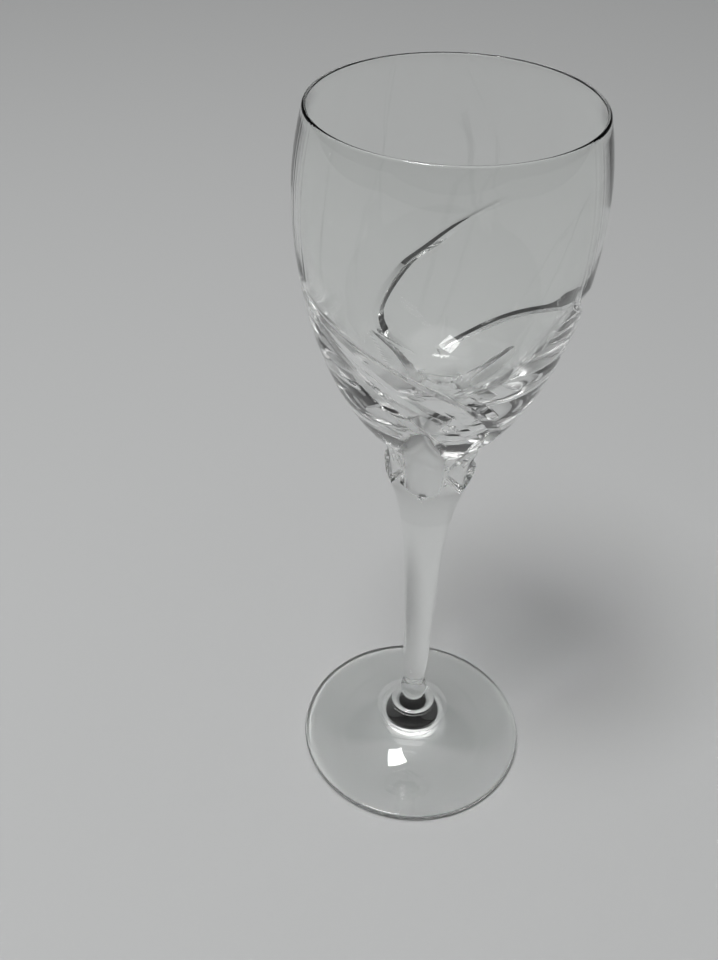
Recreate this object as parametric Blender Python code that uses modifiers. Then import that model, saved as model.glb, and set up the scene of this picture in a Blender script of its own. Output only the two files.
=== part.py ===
"""A white wine glass of clear cut crystal.

Five bodies of glass stand on one upright axis: foot, button, stem, knop and bowl.
Metres, +Z up. The origin is on the table under the middle of the foot, and the front is at -Y.
"""
import math

import bmesh
import bpy

# Heights of the five bodies, stacked from the table to the rim
FOOT_HEIGHT = 0.0145
BUTTON_HEIGHT = 0.0101
STEM_LENGTH = 0.0719
KNOP_HEIGHT = 0.0227
BOWL_HEIGHT = 0.0808
SEAM = 0.0003

# Foot, a low cone that runs in a cove into a steep collar round the button
FOOT_RADIUS = 0.0334
FOOT_EDGE = 0.0020
FOOT_SWEEP = 2.3
COLLAR_RADIUS = 0.0095
COLLAR_HEIGHT = 0.0057
COVE = 0.0024
FOOT_TOP_RADIUS = 0.0066
RESTING_RING = 0.0090
RESTING_INSET = 0.0016
UNDERSIDE_HOLLOW = 0.0010

# Button between the foot and the stem: a rounded shoulder, a sweep in to a waist, then a ball
SHOULDER_RADIUS = 0.0056
SHOULDER_RISE = 0.0010
BUTTON_SWEEP = 0.75
BUTTON_WAIST_RADIUS = 0.0031
BUTTON_WAIST_RISE = 0.0039
BUTTON_RADIUS = 0.00387
BUTTON_MIDDLE_RISE = 0.0067

# Stem, drawn thin just above the button, widening slowly and then like a trumpet into the knop
NECK_RADIUS = 0.0025
NECK_RISE = 0.0006
NECK_SPREAD = 5.0
SHAFT_RADIUS = 0.00385
FLARE_RISE = 0.0214
STEM_TAPER = 0.0024
TRUMPET = 0.0045
TRUMPET_POWER = 4.6

# Knop, round in section before it is cut, running on from the trumpet to the bowl's seat
KNOP_SIDE = 0.0137
KNOP_SLOPE = 0.10

# Bowl
BOWL_RADIUS = 0.0333
RIM_RADIUS = 0.0306
BELLY_BELOW_RIM = 0.0200
BOWL_SEAT_RADIUS = 0.0130
BOWL_FULLNESS = 1.90
RIM_WALL = 0.0008
BELLY_WALL = 0.0012
BASE_THICKNESS = 0.0088
CAVITY_FULLNESS = 2.10

# Flats ground round the knop by a broad wheel
FLAT_COUNT = 6
FLAT_TURN = math.radians(263.0)
FLAT_FROM_AXIS = 0.0100
FLAT_WHEEL_RADIUS = 0.0150
FLAT_WHEEL_BELOW_BOWL = 0.0077
FLAT_WHEEL_WIDTH = 0.0240
FLAT_RIM_DROP = 0.0

# Olives, oval hollows over every second flat, ground by a larger wheel with a rounded rim
OLIVE_COUNT = 3
OLIVE_FROM_AXIS = 0.0097
OLIVE_WHEEL_RADIUS = 0.0240
OLIVE_WHEEL_BELOW_BOWL = 0.0062
OLIVE_WHEEL_WIDTH = 0.0106
OLIVE_RIM_DROP = 0.0030
RIM_ROUNDNESS = 4

# Swirling cuts that climb round the lower half of the bowl
# Each path is a row of points: degrees round the axis, and the rise above the bowl's seat
SWIRL_PATHS = (
    ((88.0, 0.0070), (72.5, 0.0118), (43.6, 0.0221), (21.2, 0.0290), (-27.0, 0.0472)),
    ((126.0, 0.0098), (133.0, 0.0141), (133.7, 0.0189), (124.2, 0.0244), (98.2, 0.0338), (62.8, 0.0472)),
    ((276.0, 0.0108), (244.0, 0.0257), (221.0, 0.0353), (200.0, 0.0408)),
    ((312.0, 0.0108), (271.6, 0.0291), (235.0, 0.0388), (204.0, 0.0443)),
)
SWIRL_DEPTH = 0.0014
SWIRL_LIFT = 0.0004
SWIRL_TOOL_RADIUS = 0.0016

# Fineness of the turned and swept surfaces
TURN_STEPS = 48
BOWL_STEPS = 22
STEM_STEPS = 18
SHORT_STEPS = 8
SWIRL_STEPS = 22
WHEEL_SIDES = 48
RIM_STEPS = 6
TOOL_STEPS = 2
WELD = 0.00001

# Levels that follow from the heights
BUTTON_LEVEL = FOOT_HEIGHT
STEM_LEVEL = BUTTON_LEVEL + BUTTON_HEIGHT
KNOP_LEVEL = STEM_LEVEL + STEM_LENGTH
BOWL_LEVEL = KNOP_LEVEL + KNOP_HEIGHT
RIM_LEVEL = BOWL_LEVEL + BOWL_HEIGHT
BELLY_LEVEL = RIM_LEVEL - BELLY_BELOW_RIM
CAVITY_FLOOR = BOWL_LEVEL + BASE_THICKNESS
COLLAR_LEVEL = FOOT_HEIGHT - COLLAR_HEIGHT
SHOULDER_LEVEL = BUTTON_LEVEL + SHOULDER_RISE
BUTTON_WAIST_LEVEL = BUTTON_LEVEL + BUTTON_WAIST_RISE
BUTTON_MIDDLE = BUTTON_LEVEL + BUTTON_MIDDLE_RISE
NECK_LEVEL = STEM_LEVEL + NECK_RISE
FLARE_LEVEL = STEM_LEVEL + FLARE_RISE
TRUMPET_LEVEL = BOWL_LEVEL - KNOP_SIDE


def spread(low, high, steps):
    """Evenly spaced values from low to high, both ends included."""
    return [low + (high - low) * i / steps for i in range(steps + 1)]


def egg(widest, drop, depth, fullness):
    """Radius of a rounded bottom at a drop below its widest level."""
    return widest * (1 - min(drop / depth, 1) ** fullness) ** (1 / fullness)


def above_belly(widest, at_rim, level):
    """Radius where the bowl closes in between its belly and its rim."""
    share = (level - BELLY_LEVEL) / (RIM_LEVEL - BELLY_LEVEL)
    return widest - (widest - at_rim) * share * share


def bowl_radius(level):
    """Outer radius of the bowl before it is cut."""
    if level > BELLY_LEVEL:
        return above_belly(BOWL_RADIUS, RIM_RADIUS, level)
    reach = (1 - (BOWL_SEAT_RADIUS / BOWL_RADIUS) ** BOWL_FULLNESS) ** (1 / BOWL_FULLNESS)
    depth = (BELLY_LEVEL - BOWL_LEVEL) / reach
    return egg(BOWL_RADIUS, BELLY_LEVEL - level, depth, BOWL_FULLNESS)


def cavity_radius(level):
    """Radius of the hollow inside the bowl."""
    widest = BOWL_RADIUS - BELLY_WALL
    if level > BELLY_LEVEL:
        return above_belly(widest, RIM_RADIUS - RIM_WALL, level)
    return egg(widest, BELLY_LEVEL - level, BELLY_LEVEL - CAVITY_FLOOR, CAVITY_FULLNESS)


def smooth_curve(start, start_slope, end, end_slope, run, share):
    """A smooth curve between two values with given slopes at its ends."""
    ends = start * (1 + 2 * share) * (1 - share) ** 2 + end * share * share * (3 - 2 * share)
    return ends + run * (start_slope * share * (1 - share) ** 2 - end_slope * share * share * (1 - share))


def button_radius(level):
    """Radius of the button: a rounded shoulder, a sweep in to its waist, then a ball."""
    if level < SHOULDER_LEVEL:
        rise = (level - BUTTON_LEVEL) / SHOULDER_RISE
        return SHOULDER_RADIUS + (FOOT_TOP_RADIUS - SHOULDER_RADIUS) * math.sqrt(max(1 - rise * rise, 0))
    if level < BUTTON_WAIST_LEVEL:
        rise = (level - SHOULDER_LEVEL) / (BUTTON_WAIST_LEVEL - SHOULDER_LEVEL)
        return SHOULDER_RADIUS - (SHOULDER_RADIUS - BUTTON_WAIST_RADIUS) * rise ** BUTTON_SWEEP
    reach = (BUTTON_MIDDLE - BUTTON_WAIST_LEVEL) / math.sqrt(1 - (BUTTON_WAIST_RADIUS / BUTTON_RADIUS) ** 2)
    return BUTTON_RADIUS * math.sqrt(1 - ((level - BUTTON_MIDDLE) / reach) ** 2)


def shaft_radius(level):
    """Radius of the stem, and of the knop that it flares into, before the knop is cut."""
    if level < NECK_LEVEL:
        share = (NECK_LEVEL - level) / NECK_RISE
        return NECK_RADIUS + (button_radius(STEM_LEVEL) - NECK_RADIUS) * share * share
    if level < FLARE_LEVEL:
        left = (FLARE_LEVEL - level) / (FLARE_LEVEL - NECK_LEVEL)
        return SHAFT_RADIUS - (SHAFT_RADIUS - NECK_RADIUS) * left ** NECK_SPREAD
    run = TRUMPET_LEVEL - FLARE_LEVEL
    if level < TRUMPET_LEVEL:
        share = (level - FLARE_LEVEL) / run
        return SHAFT_RADIUS + STEM_TAPER * share + TRUMPET * share ** TRUMPET_POWER
    slope = (STEM_TAPER + TRUMPET * TRUMPET_POWER) / run
    start = SHAFT_RADIUS + STEM_TAPER + TRUMPET
    share = (level - TRUMPET_LEVEL) / KNOP_SIDE
    return smooth_curve(start, slope, BOWL_SEAT_RADIUS, KNOP_SLOPE, KNOP_SIDE, share)


def foot_level(radius):
    """Height of the foot's upper face at a radius."""
    share = (FOOT_RADIUS - radius) / (FOOT_RADIUS - COLLAR_RADIUS)
    cone = FOOT_EDGE + (COLLAR_LEVEL - FOOT_EDGE) * share ** FOOT_SWEEP
    share = (COLLAR_RADIUS - radius) / (COLLAR_RADIUS - FOOT_TOP_RADIUS)
    collar = COLLAR_LEVEL + COLLAR_HEIGHT * share
    return (cone + collar + math.hypot(cone - collar, COVE * (1 - max(share, 0)))) / 2


def glass(name, colour, roughness):
    """Clear crystal: no metal, light passes through."""
    material = bpy.data.materials.new(name)
    material.use_nodes = True
    shader = material.node_tree.nodes["Principled BSDF"]
    shader.inputs["Base Color"].default_value = (*colour, 1)
    shader.inputs["Roughness"].default_value = roughness
    shader.inputs["Metallic"].default_value = 0
    shader.inputs["Transmission Weight"].default_value = 1
    return material


def add(name, mesh, collection):
    """Puts a mesh into a collection as an object with that name."""
    item = bpy.data.objects.new(name, mesh)
    collection.objects.link(item)
    return item


def turned(name, profile, material, collection):
    """A body turned from a half section that starts and ends on the axis and runs down its outer side."""
    mesh = bpy.data.meshes.new(name)
    points = [(radius, 0, level) for radius, level in profile]
    edges = [(i, i + 1) for i in range(len(points) - 1)]
    mesh.from_pydata(points, edges, [])
    mesh.materials.append(material)
    item = add(name, mesh, collection)
    screw = item.modifiers.new("turn", "SCREW")
    screw.axis = "Z"
    screw.angle = math.tau
    screw.steps = TURN_STEPS
    screw.render_steps = TURN_STEPS
    screw.use_smooth_shade = True
    screw.use_merge_vertices = True
    screw.merge_threshold = WELD
    return item


def cut(item, cutters):
    """Grinds a collection of cutters out of a body."""
    boolean = item.modifiers.new("grind", "BOOLEAN")
    boolean.operation = "DIFFERENCE"
    boolean.solver = "EXACT"
    boolean.operand_type = "COLLECTION"
    boolean.collection = cutters


def as_cutter(item):
    """Marks an object as a tool that only shapes others."""
    item.hide_render = True
    item.display_type = "WIRE"


def foot_profile():
    """Half section of the foot, with a resting ring and a shallow hollow inside it."""
    ring_outer = FOOT_RADIUS - RESTING_INSET
    ring_inner = ring_outer - RESTING_RING
    edge_middle = FOOT_EDGE / 2
    cove_end = 2 * COLLAR_RADIUS - FOOT_TOP_RADIUS
    profile = [(0, FOOT_HEIGHT), (FOOT_TOP_RADIUS, FOOT_HEIGHT)]
    for radius in spread(FOOT_TOP_RADIUS, cove_end, SHORT_STEPS)[1:]:
        profile.append((radius, foot_level(radius)))
    for radius in spread(cove_end, FOOT_RADIUS - edge_middle, 2 * SHORT_STEPS)[1:]:
        profile.append((radius, foot_level(radius)))
    profile.append((FOOT_RADIUS, edge_middle))
    profile.append((ring_outer, 0))
    for share in spread(0, 1, SHORT_STEPS):
        radius = ring_inner * (1 - share)
        profile.append((radius, UNDERSIDE_HOLLOW * (1 - (1 - share) ** 2)))
    return profile


def button_profile():
    """Half section of the button, from the stem down to the foot."""
    bottom = BUTTON_LEVEL + SEAM
    profile = [(0, STEM_LEVEL)]
    for level in spread(STEM_LEVEL, BUTTON_WAIST_LEVEL, SHORT_STEPS):
        profile.append((button_radius(level), level))
    for level in spread(BUTTON_WAIST_LEVEL, SHOULDER_LEVEL, SHORT_STEPS)[1:]:
        profile.append((button_radius(level), level))
    for level in spread(SHOULDER_LEVEL, bottom, SHORT_STEPS // 2)[1:]:
        profile.append((button_radius(level), level))
    profile.append((0, bottom))
    return profile


def stem_profile():
    """Half section of the stem."""
    bottom = STEM_LEVEL + SEAM
    sides = [(shaft_radius(level), level) for level in spread(KNOP_LEVEL, bottom, STEM_STEPS)]
    return [(0, KNOP_LEVEL), *sides, (0, bottom)]


def knop_profile():
    """Half section of the knop before it is cut."""
    bottom = KNOP_LEVEL + SEAM
    sides = [(shaft_radius(level), level) for level in spread(BOWL_LEVEL, bottom, 2 * SHORT_STEPS)]
    return [(0, BOWL_LEVEL), *sides, (0, bottom)]


def bowl_profile():
    """Half section of the bowl: up the inside from the cavity's floor, over the rim, down the outside."""
    bottom = BOWL_LEVEL + SEAM
    profile = []
    for turn in spread(0, math.pi / 2, BOWL_STEPS // 2):
        level = BELLY_LEVEL - (BELLY_LEVEL - CAVITY_FLOOR) * math.cos(turn)
        profile.append((cavity_radius(level), level))
    for level in spread(BELLY_LEVEL, RIM_LEVEL - RIM_WALL / 2, SHORT_STEPS // 2)[1:]:
        profile.append((cavity_radius(level), level))
    profile.append((RIM_RADIUS - RIM_WALL / 2, RIM_LEVEL))
    for level in spread(RIM_LEVEL - RIM_WALL / 2, BELLY_LEVEL, SHORT_STEPS // 2):
        profile.append((bowl_radius(level), level))
    for level in spread(BELLY_LEVEL, bottom, BOWL_STEPS)[1:]:
        profile.append((bowl_radius(level), level))
    profile.append((0, bottom))
    return profile


def rounded_wheel(name, radius, width, rim_drop, collection):
    """A wheel about the Z axis whose rim falls away to both sides by the given drop."""
    profile = [(0, width / 2)]
    for aside in spread(width / 2, -width / 2, RIM_STEPS):
        profile.append((radius - rim_drop * (2 * aside / width) ** RIM_ROUNDNESS, aside))
    profile.append((0, -width / 2))
    mesh = bpy.data.meshes.new(name)
    shape = bmesh.new()
    rings = []
    for across, level in profile:
        ring = []
        for turn in spread(0, math.tau, WHEEL_SIDES)[:-1]:
            ring.append(shape.verts.new((across * math.cos(turn), across * math.sin(turn), level)))
            if across == 0:
                break
        rings.append(ring)
    for upper, lower in zip(rings, rings[1:]):
        for i in range(WHEEL_SIDES):
            j = (i + 1) % WHEEL_SIDES
            above = [upper[i % len(upper)], upper[j % len(upper)]]
            below = [lower[j % len(lower)], lower[i % len(lower)]]
            shape.faces.new(list(dict.fromkeys(above + below)))
    bmesh.ops.recalc_face_normals(shape, faces=shape.faces)
    shape.to_mesh(mesh)
    shape.free()
    return add(name, mesh, collection)


def wheel_cutters(name, count, from_axis, radius, below_bowl, width, rim_drop, collection):
    """A round of grinding wheels that stand upright about the glass and bite as deep as given."""
    reach = from_axis + radius
    for i in range(count):
        turn = FLAT_TURN + math.tau * i / count
        wheel = rounded_wheel(f"{name}_{i + 1}", radius, width, rim_drop, collection)
        wheel.location = (reach * math.cos(turn), reach * math.sin(turn), BOWL_LEVEL - below_bowl)
        wheel.rotation_euler = (math.pi / 2, 0, turn)
        as_cutter(wheel)


def path_point(path, share):
    """Angle and level on a smooth curve through the points of a path."""
    place = share * (len(path) - 1)
    i = min(int(place), len(path) - 2)
    t = place - i
    before, start = path[max(i - 1, 0)], path[i]
    end, after = path[i + 1], path[min(i + 2, len(path) - 1)]
    slopes = [((end[k] - before[k]) / 2, (after[k] - start[k]) / 2) for k in range(2)]
    return [smooth_curve(start[k], slopes[k][0], end[k], slopes[k][1], 1, t) for k in range(2)]


def swirl_point(path, share):
    """A point of a swirl's tool path, deepest in the middle and clear of the glass at both ends."""
    angle, rise = path_point(path, share)
    turn = math.radians(angle)
    level = BOWL_LEVEL + rise
    depth = (SWIRL_DEPTH + SWIRL_LIFT) * 4 * share * (1 - share) - SWIRL_LIFT
    radius = bowl_radius(level) + SWIRL_TOOL_RADIUS - depth
    return (radius * math.cos(turn), radius * math.sin(turn), level, 1)


def swirl_cutter(name, path, collection):
    """A rounded tool swept up and round the bowl, made solid so that it can cut."""
    curve = bpy.data.curves.new(name, "CURVE")
    curve.dimensions = "3D"
    curve.bevel_depth = SWIRL_TOOL_RADIUS
    curve.bevel_resolution = TOOL_STEPS
    curve.use_fill_caps = True
    spline = curve.splines.new("POLY")
    spline.points.add(SWIRL_STEPS)
    for point, share in zip(spline.points, spread(0, 1, SWIRL_STEPS)):
        point.co = swirl_point(path, share)
    swept = add(f"{name}_path", curve, collection)
    bpy.context.view_layer.update()
    mesh = bpy.data.meshes.new_from_object(swept.evaluated_get(bpy.context.evaluated_depsgraph_get()))
    bpy.data.objects.remove(swept)
    welded = bmesh.new()
    welded.from_mesh(mesh)
    bmesh.ops.remove_doubles(welded, verts=welded.verts, dist=WELD)
    bmesh.ops.recalc_face_normals(welded, faces=welded.faces)
    welded.to_mesh(mesh)
    welded.free()
    as_cutter(add(name, mesh, collection))


def new_collection(name):
    """An empty collection in the scene."""
    collection = bpy.data.collections.new(name)
    bpy.context.scene.collection.children.link(collection)
    return collection


def main():
    for item in list(bpy.data.objects):
        bpy.data.objects.remove(item)
    wine_glass = new_collection("white_wine_glass")
    flat_wheels = new_collection("flat_wheels")
    olive_wheels = new_collection("olive_wheels")
    swirls = new_collection("swirl_tools")

    wheel_cutters(
        "flat_wheel",
        FLAT_COUNT,
        FLAT_FROM_AXIS,
        FLAT_WHEEL_RADIUS,
        FLAT_WHEEL_BELOW_BOWL,
        FLAT_WHEEL_WIDTH,
        FLAT_RIM_DROP,
        flat_wheels,
    )
    wheel_cutters(
        "olive_wheel",
        OLIVE_COUNT,
        OLIVE_FROM_AXIS,
        OLIVE_WHEEL_RADIUS,
        OLIVE_WHEEL_BELOW_BOWL,
        OLIVE_WHEEL_WIDTH,
        OLIVE_RIM_DROP,
        olive_wheels,
    )
    for i, path in enumerate(SWIRL_PATHS):
        swirl_cutter(f"swirl_tool_{i + 1}", path, swirls)

    cut_crystal = glass("cut_crystal", (0.97, 0.98, 0.97), 0.02)
    stem_crystal = glass("drawn_crystal", (0.96, 0.97, 0.96), 0.03)
    foot_crystal = glass("pressed_crystal", (0.95, 0.96, 0.95), 0.03)

    turned("foot", foot_profile(), foot_crystal, wine_glass)
    turned("button", button_profile(), foot_crystal, wine_glass)
    turned("stem", stem_profile(), stem_crystal, wine_glass)
    knop = turned("knop", knop_profile(), cut_crystal, wine_glass)
    cut(knop, flat_wheels)
    cut(knop, olive_wheels)
    bowl = turned("bowl", bowl_profile(), cut_crystal, wine_glass)
    cut(bowl, flat_wheels)
    cut(bowl, olive_wheels)
    cut(bowl, swirls)


main()
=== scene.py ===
# %% [markdown]
# # A white wine glass of cut crystal
# The real glass is blown and pressed from clear lead crystal, and then ground on wheels. Five
# bodies of glass stand on one upright axis: foot, button, stem, knop and bowl. Nothing in it has a
# colour, so all that the eye finds is how its surfaces bend light. This lesson therefore spends its
# effort on true surfaces and on the light around them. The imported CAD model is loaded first,
# because every piece takes its place from it.

# %% The frame
import math

import bpy
from mathutils import Matrix, Vector


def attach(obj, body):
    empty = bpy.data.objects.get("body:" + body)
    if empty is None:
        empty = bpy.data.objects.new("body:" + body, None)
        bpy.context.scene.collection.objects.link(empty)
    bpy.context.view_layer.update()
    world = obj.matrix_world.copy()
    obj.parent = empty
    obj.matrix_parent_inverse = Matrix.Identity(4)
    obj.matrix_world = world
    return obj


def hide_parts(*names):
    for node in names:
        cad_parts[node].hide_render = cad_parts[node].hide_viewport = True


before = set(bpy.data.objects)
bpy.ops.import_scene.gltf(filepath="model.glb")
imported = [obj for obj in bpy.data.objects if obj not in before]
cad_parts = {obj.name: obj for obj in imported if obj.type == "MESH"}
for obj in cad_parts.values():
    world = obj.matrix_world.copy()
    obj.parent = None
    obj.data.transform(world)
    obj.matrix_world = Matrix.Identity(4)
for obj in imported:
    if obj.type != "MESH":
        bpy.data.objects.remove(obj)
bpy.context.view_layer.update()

print("nodes:", sorted(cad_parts))

# %% [markdown]
# ## Two helpers for node trees
# Blender stores colours as linear light, while people write them as sRGB hex codes, so one function
# translates. Another small function adds a node with its options and its links. Both kinds of tree
# below, the Geometry Nodes that grind the glass and the shader nodes that finish it, are written
# with these two.


# %% Helpers
def linear(hex_code):
    """A colour such as B9BABA as linear red, green, blue and alpha, by the sRGB curve."""
    shares = [int(hex_code[i:i + 2], 16) / 255 for i in (0, 2, 4)]
    return (*[s / 12.92 if s <= 0.04045 else ((s + 0.055) / 1.055) ** 2.4 for s in shares], 1)


def add_node(tree, kind, inputs=(), **options):
    """Adds a node. Its inputs are values, sockets or nodes, by order or by name."""
    made = tree.nodes.new(kind)
    for option, value in options.items():
        setattr(made, option, value)
    for key, value in inputs.items() if isinstance(inputs, dict) else enumerate(inputs):
        source = value.outputs[0] if isinstance(value, bpy.types.Node) else value
        if isinstance(source, bpy.types.NodeSocket):
            tree.links.new(source, made.inputs[key])
        else:
            made.inputs[key].default_value = source
    return made


print("a pale grey in linear light:", [round(s, 3) for s in linear("B9BABA")])

# %% [markdown]
# ## The camera
# The photograph looks down at about forty degrees from a little in front of the glass. The rim and
# the foot are circles on the real object, so the ellipses that they make in the picture give the
# lens, the height and the tilt. A matrix built from the three axes of the camera says this
# directly, with no angles to convert.

# %% Camera
IMAGE_HEIGHT = 960
FOCAL_PIXELS = 1071.1
SENSOR_MM = 36
NEAREST_SEEN = 0.01
CAMERA_PLACE = Vector((0.0, -0.2119, 0.2782))
YAW = math.radians(-4.83)
PITCH = math.radians(39.82)
ROLL = math.radians(1.07)

ahead = Vector((math.sin(YAW) * math.cos(PITCH), math.cos(YAW) * math.cos(PITCH), -math.sin(PITCH)))
level_right = Vector((math.cos(YAW), -math.sin(YAW), 0))
level_up = level_right.cross(ahead)
right = math.cos(ROLL) * level_right + math.sin(ROLL) * level_up
up = math.cos(ROLL) * level_up - math.sin(ROLL) * level_right

lens = bpy.data.cameras.new("camera")
lens.sensor_fit = "VERTICAL"
lens.sensor_height = SENSOR_MM
lens.lens = FOCAL_PIXELS * SENSOR_MM / IMAGE_HEIGHT
lens.clip_start = NEAREST_SEEN
camera = bpy.data.objects.new("camera", lens)
bpy.context.scene.collection.objects.link(camera)
turn = Matrix((right, up, -ahead)).transposed().to_4x4()
camera.matrix_world = Matrix.Translation(CAMERA_PLACE) @ turn
bpy.context.scene.camera = camera
print("lens in mm:", round(lens.lens, 2))

# %% [markdown]
# ## Sizes
# The glass was measured for its CAD model, and the same numbers drive the finer surfaces here.
# Heights are levels above the table, in metres. Most sizes without a unit, such as a sweep or a
# fullness, are powers that bend a curve, and one is the slope of the knop where the bowl begins.

# %% Sizes
# The levels where one body meets the next, and those of the bowl.
BUTTON_LEVEL = 0.0145
STEM_LEVEL = 0.0246
KNOP_LEVEL = 0.0965
BOWL_LEVEL = 0.1192
RIM_LEVEL = 0.2000
BELLY_LEVEL = 0.1800
CAVITY_FLOOR = 0.1280
# The foot, from its edge to the collar, and its underside.
FOOT_RADIUS = 0.0334
FOOT_EDGE = 0.0020
FOOT_SWEEP = 2.3
COLLAR_RADIUS = 0.0095
COLLAR_LEVEL = 0.0088
FOOT_TOP_RADIUS = 0.0066
COVE = 0.0024
RESTING_RADIUS = 0.0318
HOLLOW_RADIUS = 0.0228
UNDERSIDE_HOLLOW = 0.0010
# The button, from its shoulder to its ball.
SHOULDER_RADIUS = 0.0056
SHOULDER_LEVEL = 0.0155
BUTTON_SWEEP = 0.75
BUTTON_WAIST_RADIUS = 0.0031
BUTTON_WAIST_LEVEL = 0.0184
BUTTON_RADIUS = 0.00387
BUTTON_MIDDLE = 0.0212
# The stem, and the trumpet that runs on as the knop.
NECK_LEVEL = 0.0252
NECK_RADIUS = 0.0025
NECK_SPREAD = 5.0
SHAFT_RADIUS = 0.00385
FLARE_LEVEL = 0.0460
STEM_TAPER = 0.0024
TRUMPET = 0.0045
TRUMPET_POWER = 4.6
TRUMPET_LEVEL = 0.1055
KNOP_SLOPE = 0.10
# The bowl and its wall.
BOWL_SEAT_RADIUS = 0.0130
BOWL_RADIUS = 0.0333
RIM_RADIUS = 0.0306
BOWL_FULLNESS = 1.90
RIM_WALL = 0.0008
BELLY_WALL = 0.0012
CAVITY_FULLNESS = 2.10
print("height in mm:", 1000 * RIM_LEVEL)

# %% [markdown]
# ## Outlines
# Each body is turned about the axis, so its shape is a radius at each level. The bowl is an egg cut
# off at the rim. The stem is a slow curve that opens like a trumpet and runs on as the knop. The
# button is a shoulder, a waist and a ball, and the foot is a low cone with a steep collar round the
# button. Outlines drawn by hand would do as well, but a formula keeps each size in one place and
# can be asked for as many points as a surface needs.


# %% Outline of the bowl
def spread(low, high, steps):
    """Evenly spaced values from low to high, both ends included."""
    return [low + (high - low) * i / steps for i in range(steps + 1)]


def egg(widest, drop, depth, fullness):
    """Radius of a rounded bottom at a drop below its widest level."""
    return widest * (1 - min(drop / depth, 1) ** fullness) ** (1 / fullness)


def above_belly(widest, at_rim, level):
    """Radius where the bowl closes in between its belly and its rim."""
    share = (level - BELLY_LEVEL) / (RIM_LEVEL - BELLY_LEVEL)
    return widest - (widest - at_rim) * share * share


def bowl_radius(level):
    """Outer radius of the bowl before it is cut."""
    if level > BELLY_LEVEL:
        return above_belly(BOWL_RADIUS, RIM_RADIUS, level)
    reach = (1 - (BOWL_SEAT_RADIUS / BOWL_RADIUS) ** BOWL_FULLNESS) ** (1 / BOWL_FULLNESS)
    return egg(BOWL_RADIUS, BELLY_LEVEL - level, (BELLY_LEVEL - BOWL_LEVEL) / reach, BOWL_FULLNESS)


def cavity_radius(level):
    """Radius of the hollow inside the bowl."""
    widest = BOWL_RADIUS - BELLY_WALL
    if level > BELLY_LEVEL:
        return above_belly(widest, RIM_RADIUS - RIM_WALL, level)
    return egg(widest, BELLY_LEVEL - level, BELLY_LEVEL - CAVITY_FLOOR, CAVITY_FULLNESS)


print("bowl radius at its seat in mm:", round(1000 * bowl_radius(BOWL_LEVEL), 2))


# %% Outlines of the stem, the button and the foot
def button_radius(level):
    """Radius of the button: a rounded shoulder, a hollow sweep to its waist, then a ball."""
    if level < SHOULDER_LEVEL:
        rise = (level - BUTTON_LEVEL) / (SHOULDER_LEVEL - BUTTON_LEVEL)
        left = math.sqrt(max(1 - rise * rise, 0))
        return SHOULDER_RADIUS + (FOOT_TOP_RADIUS - SHOULDER_RADIUS) * left
    if level < BUTTON_WAIST_LEVEL:
        rise = (level - SHOULDER_LEVEL) / (BUTTON_WAIST_LEVEL - SHOULDER_LEVEL)
        return SHOULDER_RADIUS - (SHOULDER_RADIUS - BUTTON_WAIST_RADIUS) * rise ** BUTTON_SWEEP
    at_waist = math.sqrt(1 - (BUTTON_WAIST_RADIUS / BUTTON_RADIUS) ** 2)
    reach = (BUTTON_MIDDLE - BUTTON_WAIST_LEVEL) / at_waist
    return BUTTON_RADIUS * math.sqrt(1 - ((level - BUTTON_MIDDLE) / reach) ** 2)


def shaft_radius(level):
    """Radius of the stem, and of the knop that it flares into, before the flats are cut."""
    if level < NECK_LEVEL:
        share = (NECK_LEVEL - level) / (NECK_LEVEL - STEM_LEVEL)
        return NECK_RADIUS + (button_radius(STEM_LEVEL) - NECK_RADIUS) * share * share
    if level < FLARE_LEVEL:
        left = (FLARE_LEVEL - level) / (FLARE_LEVEL - NECK_LEVEL)
        return SHAFT_RADIUS - (SHAFT_RADIUS - NECK_RADIUS) * left ** NECK_SPREAD
    if level < TRUMPET_LEVEL:
        share = (level - FLARE_LEVEL) / (TRUMPET_LEVEL - FLARE_LEVEL)
        return SHAFT_RADIUS + STEM_TAPER * share + TRUMPET * share ** TRUMPET_POWER
    rise = BOWL_LEVEL - TRUMPET_LEVEL
    t = (level - TRUMPET_LEVEL) / rise
    slope = (STEM_TAPER + TRUMPET * TRUMPET_POWER) / (TRUMPET_LEVEL - FLARE_LEVEL)
    start = SHAFT_RADIUS + STEM_TAPER + TRUMPET
    ends = start * (1 + 2 * t) * (1 - t) ** 2 + BOWL_SEAT_RADIUS * t * t * (3 - 2 * t)
    return ends + rise * (slope * t * (1 - t) ** 2 - KNOP_SLOPE * t * t * (1 - t))


def foot_level(radius):
    """Height of the foot's upper face at a radius: a low cone, a cove and a steep collar."""
    share = (FOOT_RADIUS - radius) / (FOOT_RADIUS - COLLAR_RADIUS)
    cone = FOOT_EDGE + (COLLAR_LEVEL - FOOT_EDGE) * share ** FOOT_SWEEP
    share = (COLLAR_RADIUS - radius) / (COLLAR_RADIUS - FOOT_TOP_RADIUS)
    collar = COLLAR_LEVEL + (BUTTON_LEVEL - COLLAR_LEVEL) * share
    return (cone + collar + math.hypot(cone - collar, COVE * (1 - max(share, 0)))) / 2


print("stem radius at the knop in mm:", round(1000 * shaft_radius(KNOP_LEVEL), 2))

# %% [markdown]
# ## Crystal
# Lead crystal is the clearest of the common glasses and bends light more strongly than window
# glass, with an index of about 1.545. Cut faces are polished in acid, which leaves them bright and
# very slightly rippled. The stem is drawn and the foot is pressed and fire polished, so they keep a
# trace of their making, too faint to blur anything. One node makes the glass itself: a Principled
# shader with full transmission, whose roughness and normal get the faint ripple. The oval hollows
# round the knop are left matt from the wheel, so a number that the grinding leaves on each point,
# 1 in a hollow and 0 elsewhere, raises the roughness there. Where two bodies join, the real glass
# is fused, so the two faces that meet there take a finish that is fully clear, and light goes
# through as through one piece.

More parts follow.
